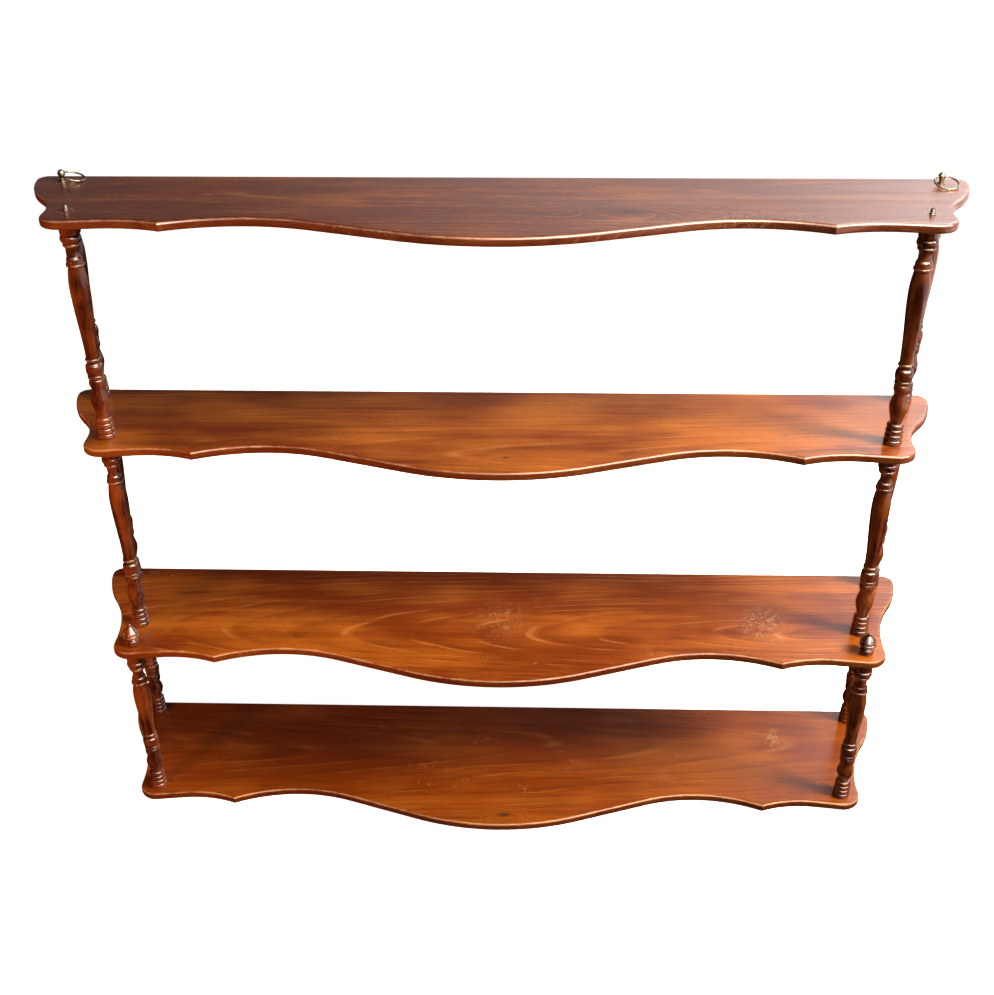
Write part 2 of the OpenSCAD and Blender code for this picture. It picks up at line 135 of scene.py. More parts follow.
class SpindleShape(bpy.types.PropertyGroup):
    """Profile of the turned spindles, from the foot up."""

    foot: size("Foot", "Radius of the lowest ring of the foot", 0.0098)
    foot_rings: IntProperty(name="Foot rings", description="Number of rings in the foot", default=4, min=1,
                            max=5)
    foot_ring: size("Foot ring", "Height of one ring of the foot", 0.0061)
    foot_step: size("Foot step", "How much each ring is smaller than the one below", 0.00035)
    groove: size("Groove", "Depth of the grooves beside rings and beads", 0.0016)
    neck: size("Neck", "Radius of the necks", 0.0061)
    neck_step: size("Neck step", "How much the necks widen at their ends", 0.001)
    vase: size("Vase", "Largest radius of the vase", 0.0096)
    long_vase: size("Long vase", "Height of the vase on the long spindles", 0.035)
    short_vase: size("Short vase", "Height of the vase on the short spindles", 0.027)
    small_bead: size("Small bead", "Radius of the small bead", 0.0085)
    small_bead_height: size("Small bead height", "Height of the small bead", 0.0095)
    band: size("Band", "Radius of the band between the small and the large bead", 0.0086)
    band_height: size("Band height", "Height of the band", 0.0045)
    large_bead: size("Large bead", "Radius of the large bead", 0.0092)
    large_bead_height: size("Large bead height", "Height of the large bead", 0.012)
    cove_height: size("Cove height", "Height of the cove under the thin ring", 0.0035)
    thin_ring: size("Thin ring", "Radius of the thin ring", 0.008)
    thin_ring_height: size("Thin ring height", "Height of the thin ring", 0.0035)
    body_low: size("Body foot", "Radius of the long body at its lower end", 0.0068)
    body: size("Body", "Largest radius of the long body", 0.0101)
    body_top: size("Body head", "Radius of the long body at its upper end", 0.0078)
    collar: size("Collar", "Radius of the collar", 0.0094)
    collar_taper: size("Collar taper", "How much the collar narrows", 0.0011)
    collar_height: size("Collar height", "Height of the collar", 0.0095)
    collar_ring: size("Collar ring", "Height of the ring at the lower end of the collar", 0.0032)
    collar_shoulder: size("Collar shoulder", "Height of the round shoulder at the upper end", 0.0048)
    top_neck_height: size("Top neck height", "Height of the neck above the collar", 0.0105)
    top_bead: size("Top bead", "Radius of the top bead", 0.0105)
    top_bead_height: size("Top bead height", "Height of the top bead", 0.008)
    top_ring: size("Top ring", "Radius of the ring under the top bead", 0.0089)
    top_ring_height: size("Top ring height", "Height of the ring under the top bead", 0.0045)
    cap: size("Cap", "Radius of the cap", 0.0098)
    cap_height: size("Cap height", "Height of the cap", 0.0135)


class FinialShape(bpy.types.PropertyGroup):
    """Profile of the turned finials, from the board up."""

    bun: size("Bun", "Radius of the bun", 0.008)
    bun_height: size("Bun height", "Height of the bun", 0.007)
    neck: size("Neck", "Radius of the neck", 0.0044)
    neck_height: size("Neck height", "Height of the neck", 0.0032)
    onion: size("Onion", "Radius of the onion", 0.0094)
    onion_low: size("Onion foot", "Height of the onion below its widest ring", 0.005)
    onion_top: size("Onion dome", "Height of the onion above its widest ring", 0.0086)
    tip: size("Tip", "Radius of the tip", 0.0023)
    tip_height: size("Tip height", "Height of the tip", 0.0034)


class MetalShape(bpy.types.PropertyGroup):
    """Rings, screw points and threads."""

    ring: size("Ring", "Diameter of the rings to the middle of the wire", 0.024)
    wire: size("Wire", "Diameter of the ring wire", 0.002)
    joint_gap: size("Ring joint", "Gap where the two ends of the ring wire meet", 0.0002)
    eye_height: size("Eye height", "Height of the middle of the eye's ball over the board", 0.0075)
    ring_rest: size("Ring rest", "Free space under the ring where it lies", 0.0003)
    shank: size("Shank", "Diameter of the screws whose bare ends show", 0.0064)
    stud: size("Stud", "Height of the bare screw ends", 0.0065)
    stud_tip: size("Stud tip", "Diameter at the tip of the bare screw ends", 0.0046)
    stud_bevel: size("Stud bevel", "Bevel of the tip", 0.001)
    point: size("Point", "Length of the buried point of a screw", 0.004)
    pitch: size("Thread pitch", "Distance from one turn of thread to the next", 0.0017)
    thread: size("Thread depth", "Depth of the thread", 0.0005)


class Finishes(bpy.types.PropertyGroup):
    """Colours of the wood and the metal."""

    board_light: paint("Board light", "Lighter stained wood of the boards", "#c06a1a")
    board_dark: paint("Board dark", "Darker stained wood of the boards", "#7e3406")
    board_late: paint("Board late wood", "Dark lines between growth rings", "#4e1c06")
    board_pale: paint("Board early wood", "Pale lines at the start of growth rings", "#dd9850")
    board_bare: paint("Worn wood", "Bare wood where the varnish is worn off", "#e8b47c")
    board_grime: paint("Grime", "Old dark stains and knots", "#2c1a16")
    turned_light: paint("Turned light", "Lighter stained wood of the turned pieces", "#7c3a10")
    turned_dark: paint("Turned dark", "Darker stained wood of the turned pieces", "#360f09")
    # Colour towards which the turned pieces are darkened in their narrow grooves.
    turned_groove_dark: paint("Turned grime", "Old polish that has gathered in the grooves", "#160805")
    bronze: paint("Bronze", "Bright metal of the eyes and rings", "#8a7e6a")
    tarnish: paint("Tarnish", "Dark tarnish on the eyes and rings", "#2a211c")
    steel: paint("Steel", "Bright metal of the screws", "#69635d")
    rust: paint("Rust", "Rust film on the screws", "#35241c")


class StageLayout(bpy.types.PropertyGroup):
    """Camera, floor and lights."""

    camera: FloatVectorProperty(name="Camera", description="Place of the camera",
                                default=(0.0351, -1.1864, 1.1020), subtype="TRANSLATION", unit="LENGTH")
    turn: angle("Turn", "Turn of the camera to the left", 1.59)
    tilt: angle("Tilt", "Downward tilt of the camera", 30.8)
    roll: angle("Roll", "Roll of the camera", -0.27)
    focal: FloatProperty(name="Focal length", description="Focal length in image pixels", default=1262.5,
                         subtype="PIXEL")
    image: FloatProperty(name="Image height", description="Height of the image in pixels", default=995,
                         subtype="PIXEL")
    middle: FloatProperty(name="Image middle", description="Right shift of the optical middle in pixels",
                          default=2.3, subtype="PIXEL")
    floor: size("Floor", "Width of the floor", 60.0)
    ambient: FloatProperty(name="Ambient", description="Strength of the even light around", default=0.10,
                           min=0)
    floor_glow: FloatProperty(name="Floor glow", default=0.85, min=0, max=1, subtype="FACTOR",
                              description="Share of the floor's white that shadows don't dim")


def angle_of(centre, point):
    return atan2(point.y - centre.y, point.x - centre.x)


def cross_angle(first, first_radius, second, second_radius, side):
    """Angle on the first circle where a line that crosses between two circles touches it."""
    return angle_of(first, second) + side * acos((first_radius + second_radius) / (second - first).length)


def circle_meet(first, first_radius, second, second_radius):
    """The meeting point of two circles that lies on the right on the way from first to second."""
    gap = (second - first).length
    way = (second - first) / gap
    along = (gap ** 2 + first_radius ** 2 - second_radius ** 2) / (2 * gap)
    across = sqrt(first_radius ** 2 - along ** 2)
    return first + along * way + across * Vector((way.y, -way.x))


def arc(centre, radius, start, end, steps, first=0):
    """Points along an arc. With first set to 1, its first point is left to the arc before it."""
    angles = [start + (end - start) * i / steps for i in range(first, steps + 1)]
    return [centre + radius * Vector((cos(a), sin(a))) for a in angles]


def half_outline(shape, depth, inset):
    """Right half of a board's outline from the wall to the middle of the bow, drawn in by inset.

    The second coordinate is the distance from the wall. A bulge loses the inset from its radius and a
    hollow gains it, so that every line stays parallel. Returns the points and the index of the front point.
    """
    lobe_at = Vector((shape.width / 2 - shape.lobe, 0))
    back_reach = sqrt((shape.lobe - shape.back_corner) ** 2 - shape.back_corner ** 2)
    back_at = Vector((lobe_at.x + back_reach, shape.back_corner))
    back_end = angle_of(lobe_at, back_at)
    waist_x = shape.width / 2 - shape.waist_side
    reach = waist_x - lobe_at.x
    waist_y = depth - shape.waist_in
    waist = (reach ** 2 + waist_y ** 2 - shape.lobe ** 2) / (2 * (shape.lobe - reach))
    waist_at = Vector((waist_x + waist, waist_y))
    lobe_end = angle_of(lobe_at, waist_at)
    corner_at = Vector((waist_x - shape.corner, depth - shape.corner_in - shape.corner))
    scallop_at = Vector((waist_x - shape.scallop_side, depth - shape.scallop_in + shape.scallop))
    hollow_at = Vector((shape.hollow_side, depth - shape.hollow_in + shape.hollow))
    bow_at = Vector((0, depth - shape.bow))
    corner_end = cross_angle(corner_at, shape.corner, scallop_at, shape.scallop, -1)
    bow_start = cross_angle(bow_at, shape.bow, hollow_at, shape.hollow, 1)
    scallop = shape.scallop + inset
    hollow = shape.hollow + inset
    front_point = circle_meet(hollow_at, hollow, scallop_at, scallop)
    full = 2 * pi
    points = arc(back_at, shape.back_corner - inset, -pi / 2, back_end, 8)
    points += arc(lobe_at, shape.lobe - inset, back_end, lobe_end, 12, first=1)
    points += arc(waist_at, waist + inset, lobe_end + pi, pi, 14, first=1)
    points += arc(corner_at, shape.corner - inset, 0, corner_end, 12)
    points += arc(scallop_at, scallop, corner_end + pi, angle_of(scallop_at, front_point) + full, 16)
    front_index = len(points) - 1
    points += arc(hollow_at, hollow, angle_of(hollow_at, front_point) + full, bow_start + pi, 24, first=1)
    points += arc(bow_at, shape.bow - inset, bow_start, pi / 2, 18)
    return points, front_index


def outline(shape, depth, inset):
    """A whole outline, once round from the right back corner, and the indices of its two front points."""
    half, front_index = half_outline(shape, depth, inset)
    mirrored = [Vector((-p.x, p.y)) for p in reversed(half[:-1])]
    return half + mirrored, (front_index, 2 * len(half) - 2 - front_index)


def edge_rows(shape, top, bottom, steps=6):
    """Rows of a board's edge from the top face round to the underside: inset, height, wear and side.

    The wear is greatest half way round each arris, and the side is 1 where the edge stands upright.
    """
    turns = [pi / 2 * i / steps for i in range(steps + 1)]
    rows = [(shape.top_round + 0.006, top, 0.0, 0.0), (shape.top_round + 0.002, top, 0.1, 0.0)]
    for a in turns:
        wear = 0.2 + 0.8 * sin(2 * a) ** 2
        rows.append((shape.top_round * (1 - sin(a)), top - shape.top_round * (1 - cos(a)), wear, sin(a)))
    middle = (top - shape.top_round + bottom + shape.low_round) / 2
    rows.append((0.0, middle, 0.15, 1.0))
    for a in reversed(turns):
        wear = 0.1 + 0.5 * sin(2 * a) ** 2
        rows.append((shape.low_round * (1 - sin(a)), bottom + shape.low_round * (1 - cos(a)), wear, sin(a)))
    rows.append((shape.low_round + 0.002, bottom, 0.0, 0.0))
    return rows


def loop_edges(bm, verts):
    """The edges of a closed row of points, made where they are missing."""
    pairs = zip(verts, verts[1:] + verts[:1])
    return [bm.edges.get(pair) or bm.edges.new(pair) for pair in pairs]


def skin(bm, rows, sharp_columns=()):
    """Joins closed rows of points by quads, smooth but for the columns that stay sharp."""
    for upper, lower in zip(rows, rows[1:]):
        for i in range(len(upper)):
            j = (i + 1) % len(upper)
            bm.faces.new((upper[i], upper[j], lower[j], lower[i])).smooth = True
        for i in sharp_columns:
            bm.edges.get((upper[i], lower[i])).smooth = False


def hole_rows(bm, at, steps, segments=20):
    """Circles of points down a hole. Each step is a radius and a height."""
    angles = [2 * pi * i / segments for i in range(segments)]
    return [[bm.verts.new((at[0] + r * cos(a), at[1] + r * sin(a), z)) for a in angles] for r, z in steps]


def mesh_object(name, bm, material):
    """Turns a bmesh into an object of the scene."""
    mesh = bpy.data.meshes.new(name)
    bm.to_mesh(mesh)
    bm.free()
    mesh.materials.append(material)
    made = bpy.data.objects.new(name, mesh)
    bpy.context.scene.collection.objects.link(made)
    return made


def new_piece(name, bm, material, body, node):
    """Turns a bmesh into a piece that rides on a body and stands for the CAD node that it replaces."""
    bmesh.ops.recalc_face_normals(bm, faces=bm.faces)
    piece = mesh_object(name, bm, material)
    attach(piece, body)
    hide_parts(node)


def build_board(shape, node, holes):
    """A board with rounded edges and holes, each a place and its steps, in the box of its CAD node."""
    low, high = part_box(node)
    bm = bmesh.new()
    wear_layer = bm.verts.layers.float.new("wear")
    side_layer = bm.verts.layers.float.new("side")
    rows = []
    for inset, z, wear, side in edge_rows(shape, high.z, low.z):
        points, front = outline(shape, high.y - low.y, inset)
        row = [bm.verts.new((p.x, high.y - p.y, z)) for p in points]
        for v in row:
            v[wear_layer] = wear
            v[side_layer] = side
        rows.append(row)
    skin(bm, rows, front)
    bores = [hole_rows(bm, at, steps) for at, steps in holes]
    for bore in bores:
        skin(bm, bore)
    for end, normal in ((0, 1), (-1, -1)):
        edges = loop_edges(bm, rows[end])
        for bore in bores:
            edges += loop_edges(bm, bore[end])
        bmesh.ops.triangle_fill(bm, use_beauty=True, use_dissolve=False, edges=edges, normal=(0, 0, normal))
    return bm


def node_middle(node):
    low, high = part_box(node)
    return (low + high) / 2


def foot_middle(node):
    """The middle of a node in the plan, at the height of its foot."""
    middle = node_middle(node)
    return Vector((middle.x, middle.y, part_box(node)[0].z))


def spindle_place(tier, corner):
    """Place of a spindle in the plan, rounded so that places over each other are equal."""
    middle = node_middle(f"{tier}_spindle_{corner}")
    return round(middle.x, 4), round(middle.y, 4)


def bead(z, height, radius, edge, steps=12):
    """Rows of a round ring from z up, between two grooves with the radius of its edge."""
    angles = [pi * i / steps for i in range(steps + 1)]
    return [(edge + (radius - edge) * sin(a), z + height * (1 - cos(a)) / 2) for a in angles]


def cove(z, height, start, end, low, steps=10):
    """Rows of a round hollow from z up, as narrow as low between its two ends."""
    rows = []
    for i in range(steps + 1):
        a = pi * i / steps
        rows.append((low + ((start if a < pi / 2 else end) - low) * (1 - sin(a)), z + height * i / steps))
    return rows


def vase(shape, z, height, top, steps=20, widest=0.55):
    """Rows of the vase from z up. It is widest at that share of its height."""
    rows = []
    for i in range(steps + 1):
        t = i / steps
        if t < widest:
            r = shape.neck + (shape.vase - shape.neck) * (1 - cos(pi * t / widest)) / 2
        else:
            r = top + (shape.vase - top) * (1 + cos(pi * (t - widest) / (1 - widest))) / 2
        rows.append((r, z + height * t))
    return rows


def long_body(shape, z, height, steps=36, full=0.79):
    """Rows of the long body from z up. It is fullest at that share of its height."""
    rows = []
    for i in range(steps + 1):
        t = i / steps
        if t < full:
            r = shape.body_low + (shape.body - shape.body_low) * (1 - cos(pi * t / full)) / 2
        else:
            r = shape.body_top + (shape.body - shape.body_top) * sin(pi / 2 * (1 - t) / (1 - full))
        rows.append((r, z + height * t))
    return rows


def spindle_profile(shape, height, vase_height):
    """Radius and height pairs of a spindle, from the foot up."""
    g = shape.groove
    nick = g / 2
    neck_end = shape.neck + shape.neck_step
    small_edge = shape.small_bead - g
    large_edge = shape.large_bead - g
    vase_z = shape.foot_rings * shape.foot_ring
    small_z = vase_z + vase_height
    band_z = small_z + shape.small_bead_height
    large_z = band_z + shape.band_height
    cove_z = large_z + shape.large_bead_height
    thin_z = cove_z + shape.cove_height
    body_z = thin_z + shape.thin_ring_height
    cap_z = height - shape.cap_height
    bead_z = cap_z - shape.top_bead_height
    ring_z = bead_z - shape.top_ring_height
    neck_z = ring_z - shape.top_neck_height
    collar_z = neck_z - shape.collar_height
    rows = []
    for i in range(shape.foot_rings):
        r = shape.foot - i * shape.foot_step
        rows += bead(i * shape.foot_ring, shape.foot_ring, r, r - g)
    rows += vase(shape, vase_z, vase_height, small_edge)
    rows += bead(small_z, shape.small_bead_height, shape.small_bead, small_edge)
    rows += bead(band_z, shape.band_height, shape.band, shape.band - nick)
    rows += bead(large_z, shape.large_bead_height, shape.large_bead, large_edge)
    rows += cove(cove_z, shape.cove_height, large_edge, shape.body_low, shape.body_low)
    rows += bead(thin_z, shape.thin_ring_height, shape.thin_ring, shape.body_low)
    rows += long_body(shape, body_z, collar_z - body_z - nick)
    rows += [(shape.body_top - nick, collar_z - nick / 2)]
    rows += bead(collar_z, shape.collar_ring, shape.collar, shape.collar - nick)
    dome = shape.collar - shape.collar_taper - neck_end
    for a in (0, pi / 8, pi / 4, 3 * pi / 8, pi / 2):
        rows.append((neck_end + dome * cos(a), neck_z - shape.collar_shoulder * (1 - sin(a))))
    rows += cove(neck_z, shape.top_neck_height, neck_end, neck_end, shape.neck)
    rows += bead(ring_z, shape.top_ring_height, shape.top_ring, neck_end)
    rows += bead(bead_z, shape.top_bead_height, shape.top_bead, shape.top_ring - nick)
    rows += [(shape.cap - g + g * cos(a), cap_z + g + g * sin(a)) for a in (-pi / 2, -pi / 3, -pi / 6, 0)]
    rows += [(shape.cap, height)]
    return rows


def finial_profile(turned, shape, steps=16, drawn=1.35):
    """Radius and height pairs of a finial, from the board up."""
    nick = turned.groove / 2
    neck_end = shape.neck + turned.neck_step
    neck_z = shape.bun_height + shape.neck_height
    dome_z = neck_z + shape.onion_low + nick
    top_z = dome_z + shape.onion_top
    dome = shape.onion - nick / 2
    rows = bead(0, shape.bun_height, shape.bun, shape.bun - turned.groove)
    rows += cove(shape.bun_height, shape.neck_height, neck_end, neck_end, shape.neck)
    rows += bead(neck_z, shape.onion_low, shape.onion, shape.onion - 2 * turned.groove)
    rows += [(shape.onion - nick, dome_z - nick / 2)]
    for i in range(steps + 1):
        t = i / steps
        r = shape.tip + (dome - shape.tip) * cos(pi / 2 * t)
        rows.append((r, dome_z + shape.onion_top * t ** drawn))
    for a in (radians(22.5), radians(45), radians(67.5)):
        rows.append((shape.tip * cos(a), top_z + shape.tip_height * sin(a)))
    rows.append((0, top_z + shape.tip_height))
    return rows


def without_repeats(profile, least=2e-5):
    """Leaves out each row of a profile that lies nearer than least to the one before."""
    kept = [profile[0]]
    for row in profile[1:]:
        if hypot(row[0] - kept[-1][0], row[1] - kept[-1][1]) > least:
            kept.append(row)
    return kept


def lathe(bm, profile, at, segments=64, window=0.0028, deep=0.0014, proud=0.0010, crease=radians(38)):
    """Turns a profile of radius, height pairs about a vertical axis at a place.

    The layer recess reaches 1 where a point lies deep metres below the profile on both sides, within the
    window, and the layer crest where it stands proud metres above both, for darkened grooves and for rubbed
    beads.
    """
    recess_layer = bm.verts.layers.float.get("recess") or bm.verts.layers.float.new("recess")
    crest_layer = bm.verts.layers.float.get("crest") or bm.verts.layers.float.new("crest")
    profile = without_repeats(profile)
    rows = []
    for r, z in profile:
        above = [other[0] for other in profile if 0 <= other[1] - z < window]
        below = [other[0] for other in profile if 0 <= z - other[1] < window]
        if r < 1e-6:
            row = [bm.verts.new((at.x, at.y, at.z + z))]
        else:
            angles = [2 * pi * i / segments for i in range(segments)]
            row = [bm.verts.new((at.x + r * cos(a), at.y + r * sin(a), at.z + z)) for a in angles]
        for v in row:
            v[recess_layer] = min(1.0, (min(max(above), max(below)) - r) / deep)
            v[crest_layer] = min(1.0, max(0.0, r - max(min(above), min(below))) / proud)
        rows.append(row)
    for k, (low, high) in enumerate(zip(rows, rows[1:])):
        for i in range(segments):
            j = (i + 1) % segments
            corners = (low[i], low[j], high[j], high[i]) if len(high) > 1 else (low[i], low[j], high[0])
            bm.faces.new(corners).smooth = True
        if 0 < k and len(high) > 1:
            before = atan2(profile[k][1] - profile[k - 1][1], profile[k][0] - profile[k - 1][0])
            after = atan2(profile[k + 1][1] - profile[k][1], profile[k + 1][0] - profile[k][0])
            if abs((after - before + pi) % (2 * pi) - pi) > crease:
                for edge in loop_edges(bm, low):
                    edge.smooth = False
    for row in (rows[0], rows[-1]):
        if len(row) > 1:
            bm.faces.new(row)


def threaded_screw(bm, at, profile, pitch, thread, segments=24, rows_a_turn=9, flank=0.3, core=0.35):
    """A screw whose crests follow a profile of radius, height pairs, with a single thread cut into it.

    The flank is the width of each side of the thread as a share of the pitch, and the core is the least
    share of the radius that the cut leaves.
    """
    low, high = profile[0][1], profile[-1][1]
    count = int((high - low) / pitch * rows_a_turn)
    rows = []
    for k in range(1, count):
        z = low + (high - low) * k / count
        for (r0, z0), (r1, z1) in zip(profile, profile[1:]):
            if z0 <= z <= z1:
                crest = r0 + (r1 - r0) * (z - z0) / (z1 - z0)
        row = []
        for i in range(segments):
            a = 2 * pi * i / segments
            phase = (z / pitch - i / segments) % 1
            ridge = max(0.0, 1 - abs(phase - 0.5) / flank)
            r = max(crest - thread * (1 - ridge), crest * core)
            row.append(bm.verts.new((at.x + r * cos(a), at.y + r * sin(a), at.z + z)))
        rows.append(row)
    skin(bm, rows)
    bm.faces.new(rows[0])
    bm.faces.new(rows[-1])


def wire_ring(bm, hinge, lay, lean, shape, around=96, section=16, joint_at=radians(32)):
    """A ring of bent wire that lies from its hinge point towards lay. Its ends meet beside the eye."""
    out = Vector((cos(lay) * cos(lean), sin(lay) * cos(lean), -sin(lean)))
    side = Vector((-sin(lay), cos(lay), 0))
    normal = out.cross(side)
    middle = hinge + out * shape.ring / 2
    gap = shape.joint_gap / (shape.ring / 2)
    rows = []
    for i in range(around + 1):
        a = pi + gap / 2 + joint_at + (2 * pi - gap) * i / around
        spoke = out * cos(a) + side * sin(a)
        centre = middle + spoke * shape.ring / 2
        rows.append([bm.verts.new(centre + shape.wire / 2 * (spoke * cos(b) + normal * sin(b)))
                     for b in (2 * pi * k / section for k in range(section))])
    skin(bm, rows)
    bm.faces.new(rows[0])
    bm.faces.new(rows[-1])


def add_node(tree, kind, *inputs, named=None, **settings):
    """Adds a node with its settings. The kind may name the operation too, as in Math:ADD.

    The inputs come in the order in which the node shows them, or named. Each is a value, the socket that
    feeds it, or the node whose first output does.
    """
    kind, _, operation = kind.partition(":")
    node = tree.nodes.new("ShaderNode" + kind)
    if operation:
        node.operation = operation
    for name, value in {**USUAL_SETTINGS.get(kind, {}), **settings}.items():
        setattr(node, name, value)
    fed = list(zip([socket for socket in node.inputs if socket.enabled], inputs))
    fed += [(node.inputs[name], value) for name, value in (named or {}).items()]
    for socket, value in fed:
        if isinstance(value, bpy.types.Node):
            value = next(output for output in value.outputs if output.enabled)
        if isinstance(value, bpy.types.NodeSocket):
            tree.links.new(value, socket)
        else:
            socket.default_value = [*value, 1] if socket.type == "RGBA" else value
    return node


def emptied(owner):
    """Empties the node tree of a material or world, and gives the function that adds a node to it."""
    owner.use_nodes = True
    owner.node_tree.nodes.clear()
    return partial(add_node, owner.node_tree)


def new_surface(name):
    """A new material, the function that adds nodes to it, and its surface coordinates in millimetres."""
    material = bpy.data.materials.new(name)
    add = emptied(material)
    return material, add, add("VectorMath:SCALE", add("TexCoord").outputs["Object"], MM)


def finish_surface(add, colour, rough, height, strength, relief, **constants):
    """Feeds colour, roughness and relief to the material's shader. A height of 1 is relief metres high."""
    bump = add("Bump", named={"Height": height, "Strength": strength, "Distance": relief})
    shader = add("BsdfPrincipled", named={"Base Color": colour, "Roughness": rough, "Normal": bump,
                                          **constants})
    add("OutputMaterial", shader)


def stretched_noise(add, place, grain, seed, detail=3.0, roughness=0.55, distortion=0.0):
    """Noise whose blots are grain = (x, y, z) millimetres long, moved by a seed."""
    scaled = add("VectorMath:MULTIPLY_ADD", place, [1 / length for length in grain], [seed] * 3)
    return add("TexNoise", scaled, named={"Scale": 1.0, "Detail": detail, "Roughness": roughness,
                                          "Distortion": distortion})


def weighed(add, *parts):
    """The sum of several values, each given with its weight."""
    return reduce(partial(add, "Math:ADD"), [add("Math:MULTIPLY", *part) for part in parts])


def most(add, values):
    """The largest of several values."""
    return reduce(partial(add, "Math:MAXIMUM"), values)


def tinge(add, colour, other, where, strength):
    """Turns a colour towards another one, as far as where (from 0 to 1) and the strength say."""
    return add("Mix", add("Math:MULTIPLY", where, strength), colour, other)


def streaked(add, colour, fibres, dim, bright):
    """Makes a colour darker and brighter from fibre to fibre."""
    streak = add("MapRange", fibres, *NOISE_SPAN, dim, bright, interpolation_type="LINEAR")
    return add("Mix", 1.0, colour, add("CombineColor", streak, streak, streak), blend_type="MULTIPLY")


def spot(add, place, at, reach, core=0.25):
    """A soft spot, 1 at a place in millimetres and 0 past its reach along x and y."""
    offset = add("VectorMath:SUBTRACT", place, (*at, 0))
    scaled = add("VectorMath:MULTIPLY", offset, (1 / reach[0], 1 / reach[1], 0))
    return add("MapRange", add("VectorMath:LENGTH", scaled), 1.0, core)


def hairlines(add, place, spacing, width, seed):
    """Thin wandering lines: where a noise with blots of the spacing crosses its middle value."""
    noise = stretched_noise(add, place, spacing, seed, detail=1.5, distortion=0.6)
    away = add("Math:ABSOLUTE", add("Math:SUBTRACT", noise, 0.5))
    return add("MapRange", away, width, width * 0.25)


# Looks of each board, with places in millimetres: seed, shift between light and dark, tint over the stain,
# the pith of its log (y, z, slope of y, slope of z), width of a growth ring, knots and stains (x, y, reach
# x, reach y), scratched places and painted pools of light and shadow (the same, then strength; more is
# painted light, less is painted shadow), how strongly the fibres show, how much the arrises are worn, how
# much darker the upright edge faces are painted as painted shade, the shine of the varnish, and how strong
# a second, glossier coat is.
BOARD_LOOKS = {
    "top_shelf": dict(
        seed=3.1, shade=-0.08, tint="#64301f", tinted=0.3, pith=(60, -70, 0.02, 0.03), ring=7.0,
        knots=((129, -7, 34, 13), (95, 4, 16, 9)), stains=((127, -5, 28, 12),),
        scratches=((250, -20, 140, 50, 0.3),), painted_light_and_shade=(),
        grain=1.7, wear=0.55, edge=0.45, sheen=0.45, coat=0.55),
    "second_shelf": dict(
        seed=11.7, shade=0.0, tint="#b0703a", tinted=0.0, pith=(-40, -95, -0.02, 0.04), ring=6.0,
        knots=((10, -48, 10, 5), (306, 6, 8, 6)), stains=((10, -48, 5, 3), (306, 6, 4, 3)), scratches=(),
        painted_light_and_shade=((270, 20, 150, 80, 0.16), (80, 40, 150, 60, 0.12), (-250, -60, 260, 80, -0.14)),
        grain=0.8, wear=0.5, edge=0.75, sheen=0.5, coat=0.0),
    "third_shelf": dict(
        seed=23.9, shade=-0.05, tint="#b0703a", tinted=0.0, pith=(-15, -48, 0.0, 0.12), ring=8.5,
        knots=(), stains=(), scratches=((308, 1, 42, 50, 0.9), (4, 5, 46, 56, 0.4)),
        painted_light_and_shade=((-50, 20, 300, 60, -0.10), (-100, 90, 340, 40, -0.12), (300, -40, 120, 60, 0.06)),
        grain=0.8, wear=0.6, edge=0.75, sheen=0.3, coat=0.0),
    "bottom_shelf": dict(
        seed=37.3, shade=-0.06, tint="#7c3400", tinted=0.5, pith=(30, -80, 0.03, -0.05), ring=7.5,
        knots=((10, -91, 14, 6),), stains=((10, -91, 16, 6),),
        scratches=((352, 51, 20, 26, 0.6), (199, -19, 30, 16, 0.3)),
        painted_light_and_shade=((270, 0, 150, 90, 0.16), (60, 30, 110, 40, -0.14), (-240, 10, 240, 60, -0.10)),
        grain=0.8, wear=0.7, edge=0.75, sheen=0.3, coat=0.0),
}


def growth_rings(add, place, look, board_top):
    """Distance of each point from the pith of its log, in ring widths, bent by slow wander and by knots."""
    pith_y, pith_z, slope_y, slope_z = look["pith"]
    x, y, z = add("SeparateXYZ", place).outputs
    wander = stretched_noise(add, place, (420, 80, 80), look["seed"], detail=2)
    wave = add("Math:MULTIPLY", add("Math:SUBTRACT", wander, 0.5), 46.0)
    y = add("Math:ADD", add("Math:MULTIPLY_ADD", x, -slope_y, y), wave)
    y = add("Math:SUBTRACT", y, pith_y)
    z = add("Math:MULTIPLY_ADD", x, -slope_z, z)
    z = add("Math:SUBTRACT", z, MM * board_top + pith_z)
    squares = add("Math:ADD", add("Math:MULTIPLY", y, y), add("Math:MULTIPLY", z, z))
    radius = add("Math:SQRT", squares)
    for knot_x, knot_y, reach_x, reach_y in look["knots"]:
        bump = spot(add, place, (knot_x, knot_y), (2.2 * reach_x, 2.2 * reach_y), core=0.0)
        radius = add("Math:MULTIPLY_ADD", bump, 2.6 * look["ring"], radius)
    return add("Math:DIVIDE", radius, look["ring"])


